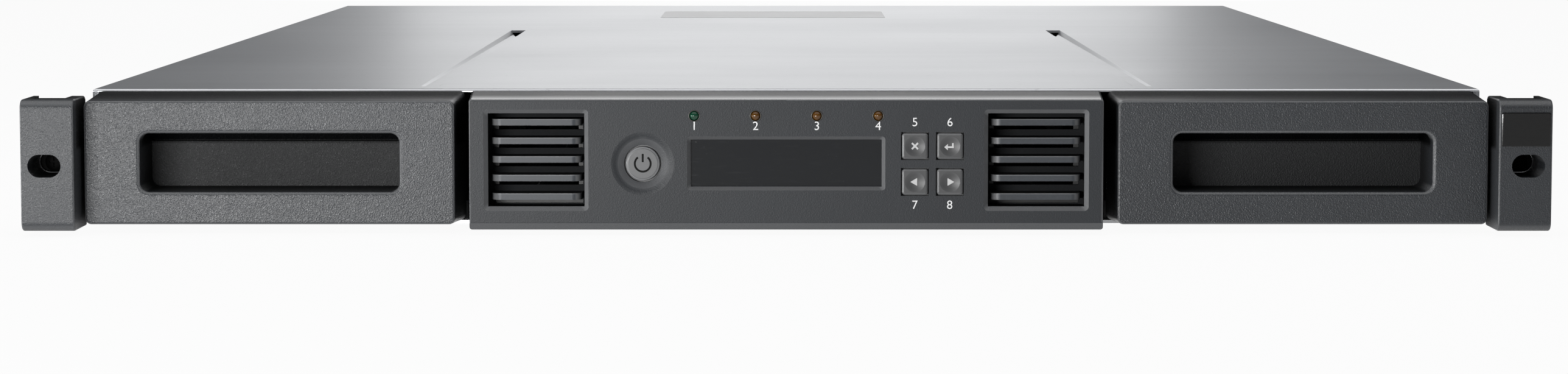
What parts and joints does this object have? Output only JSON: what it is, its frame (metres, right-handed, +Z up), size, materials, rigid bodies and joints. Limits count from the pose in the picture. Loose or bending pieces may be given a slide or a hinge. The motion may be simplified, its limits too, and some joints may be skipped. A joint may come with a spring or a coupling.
{
  "type": "data tape library",
  "caption": "Flat rack-mount tape library with pull-out cartridge magazines, a front control panel with display and keys, rack ears, and an inner shuttle that feeds a tape drive.",
  "frame": {"origin": "middle of the underside of the whole object's box", "axes": "+X right seen from the front, +Y from the front to the back, +Z up"},
  "size_m": [0.48, 0.768, 0.0436],
  "materials": {
    "cover_steel": "satin sheet steel",
    "chassis_steel": "zinc-coated sheet steel",
    "rear_steel": "zinc-coated sheet steel",
    "bracket_steel": "zinc-coated steel",
    "ear_plastic": "fine-grained moulded plastic",
    "panel_plastic": "fine-grained moulded plastic",
    "magazine_plastic": "fine-grained moulded plastic",
    "tray_plastic": "moulded plastic",
    "louvre_plastic": "moulded plastic",
    "window_plastic": "smoked clear plastic",
    "display_glass": "dark display glass",
    "board_green": "solder mask",
    "switch_plastic": "moulded plastic",
    "lamp_green": "tinted lens, unlit",
    "lamp_amber": "tinted lens, unlit",
    "key_plastic": "satin moulded plastic",
    "button_plastic": "satin moulded plastic",
    "guide_plastic": "low-friction plastic",
    "rod_steel": "ground bar",
    "block_plastic": "moulded plastic",
    "carriage_plastic": "moulded plastic",
    "turntable_plastic": "moulded plastic",
    "frame_steel": "zinc-coated sheet steel",
    "picker_plastic": "moulded plastic",
    "reader_plastic": "moulded plastic",
    "belt_rubber": "toothed belt",
    "pulley_metal": "turned",
    "motor_metal": "black motor case",
    "drive_steel": "zinc-coated sheet steel",
    "drive_plastic": "moulded plastic",
    "socket_steel": "plated shell",
    "inlet_plastic": "moulded plastic",
    "supply_steel": "zinc-coated sheet steel",
    "fan_plastic": "moulded plastic",
    "latch_steel": "stamped steel",
    "solenoid_metal": "plated frame"
  },
  "bodies": {
    "chassis": {"base_tray": "chassis_steel", "top_cover": "cover_steel", "rear_panel": "rear_steel", "left_rack_bracket": "bracket_steel", "right_rack_bracket": "bracket_steel", "left_ear_cover": "ear_plastic", "right_ear_cover": "ear_plastic", "control_panel": "panel_plastic", "left_vent_grille": "louvre_plastic", "right_vent_grille": "louvre_plastic", "display_window": "window_plastic", "display_module": "display_glass", "panel_board": "board_green", "panel_switches": "switch_plastic", "panel_bracket": "frame_steel", "status_lamp_1": "lamp_green", "status_lamp_2": "lamp_amber", "status_lamp_3": "lamp_amber", "status_lamp_4": "lamp_amber", "left_magazine_guide": "guide_plastic", "right_magazine_guide": "guide_plastic", "shuttle_rods": "rod_steel", "rod_blocks": "block_plastic", "shuttle_motor": "motor_metal", "motor_bracket": "frame_steel", "shuttle_belt": "belt_rubber", "idler_post": "pulley_metal", "tape_drive_case": "drive_steel", "tape_drive_bezel": "drive_plastic", "sas_sockets": "socket_steel", "power_supply": "supply_steel", "power_inlet": "inlet_plastic", "fan_frame": "fan_plastic", "controller_board": "board_green", "network_jack": "socket_steel", "usb_socket": "socket_steel", "left_latch_solenoid": "solenoid_metal", "right_latch_solenoid": "solenoid_metal"},
    "left_magazine": {"left_magazine_bezel": "magazine_plastic", "left_magazine_tray": "tray_plastic"},
    "right_magazine": {"right_magazine_bezel": "magazine_plastic", "right_magazine_tray": "tray_plastic"},
    "power_button": {"power_button": "button_plastic"},
    "cancel_key": {"cancel_key": "key_plastic"},
    "enter_key": {"enter_key": "key_plastic"},
    "previous_key": {"previous_key": "key_plastic"},
    "next_key": {"next_key": "key_plastic"},
    "shuttle": {"shuttle_carriage": "carriage_plastic", "barcode_reader": "reader_plastic"},
    "turntable": {"turntable": "turntable_plastic", "turntable_frame": "frame_steel"},
    "picker": {"picker": "picker_plastic"},
    "drive_pulley": {"drive_pulley": "pulley_metal"},
    "idler_pulley": {"idler_pulley": "pulley_metal"},
    "fan": {"fan_rotor": "fan_plastic"},
    "left_latch": {"left_latch": "latch_steel"},
    "right_latch": {"right_latch": "latch_steel"},
    "drive_door": {"drive_door": "drive_plastic"}
  },
  "joints": [
    {"name": "left_magazine_slide", "type": "slide", "parent": "chassis", "child": "left_magazine", "axis": [0, -1, 0], "range_m": [0, 0.43]},
    {"name": "right_magazine_slide", "type": "slide", "parent": "chassis", "child": "right_magazine", "axis": [0, -1, 0], "range_m": [0, 0.43]},
    {"name": "power_button_press", "type": "slide", "parent": "chassis", "child": "power_button", "axis": [0, 1, 0], "range_m": [0, 0.0012], "stiffness_N_per_m": 900},
    {"name": "cancel_key_press", "type": "slide", "parent": "chassis", "child": "cancel_key", "axis": [0, 1, 0], "range_m": [0, 0.0008], "stiffness_N_per_m": 1500},
    {"name": "enter_key_press", "type": "slide", "parent": "chassis", "child": "enter_key", "axis": [0, 1, 0], "range_m": [0, 0.0008], "stiffness_N_per_m": 1500},
    {"name": "previous_key_press", "type": "slide", "parent": "chassis", "child": "previous_key", "axis": [0, 1, 0], "range_m": [0, 0.0008], "stiffness_N_per_m": 1500},
    {"name": "next_key_press", "type": "slide", "parent": "chassis", "child": "next_key", "axis": [0, 1, 0], "range_m": [0, 0.0008], "stiffness_N_per_m": 1500},
    {"name": "shuttle_slide", "type": "slide", "parent": "chassis", "child": "shuttle", "axis": [0, 1, 0], "range_m": [-0.1084, 0.2354]},
    {"name": "drive_pulley_spin", "type": "hinge", "parent": "chassis", "child": "drive_pulley", "pos_m": [0.096, 0.128, 0.0022], "axis": [0, 0, 1], "range_deg": [-2900, 1400]},
    {"name": "idler_pulley_spin", "type": "hinge", "parent": "chassis", "child": "idler_pulley", "pos_m": [0.096, -0.318, 0.0022], "axis": [0, 0, 1], "range_deg": [-2900, 1400]},
    {"name": "turntable_turn", "type": "hinge", "parent": "shuttle", "child": "turntable", "pos_m": [0, -0.1744, 0.0062], "axis": [0, 0, 1], "range_deg": [0, 180]},
    {"name": "picker_reach", "type": "slide", "parent": "turntable", "child": "picker", "axis": [1, 0, 0], "range_m": [0, 0.058]},
    {"name": "fan_spin", "type": "hinge", "parent": "chassis", "child": "fan", "pos_m": [0.098, 0.3735, 0.02], "axis": [0, 1, 0], "continuous": true},
    {"name": "left_latch_turn", "type": "hinge", "parent": "chassis", "child": "left_latch", "pos_m": [-0.1444, 0.1436, 0.003], "axis": [0, 0, -1], "range_deg": [0, 4.68], "stiffness_Nm_per_rad": 0.05},
    {"name": "right_latch_turn", "type": "hinge", "parent": "chassis", "child": "right_latch", "pos_m": [0.1444, 0.1436, 0.003], "axis": [0, 0, 1], "range_deg": [0, 4.68], "stiffness_Nm_per_rad": 0.05},
    {"name": "drive_door_swing", "type": "hinge", "parent": "chassis", "child": "drive_door", "pos_m": [0, 0.164, 0.0339], "axis": [1, 0, 0], "range_deg": [0, 86], "stiffness_Nm_per_rad": 0.004}
  ],
  "couplings": [
    {"joint": "drive_pulley_spin", "follows": "shuttle_slide", "rad_per_m": -202.02},
    {"joint": "idler_pulley_spin", "follows": "shuttle_slide", "rad_per_m": -202.02}
  ]
}
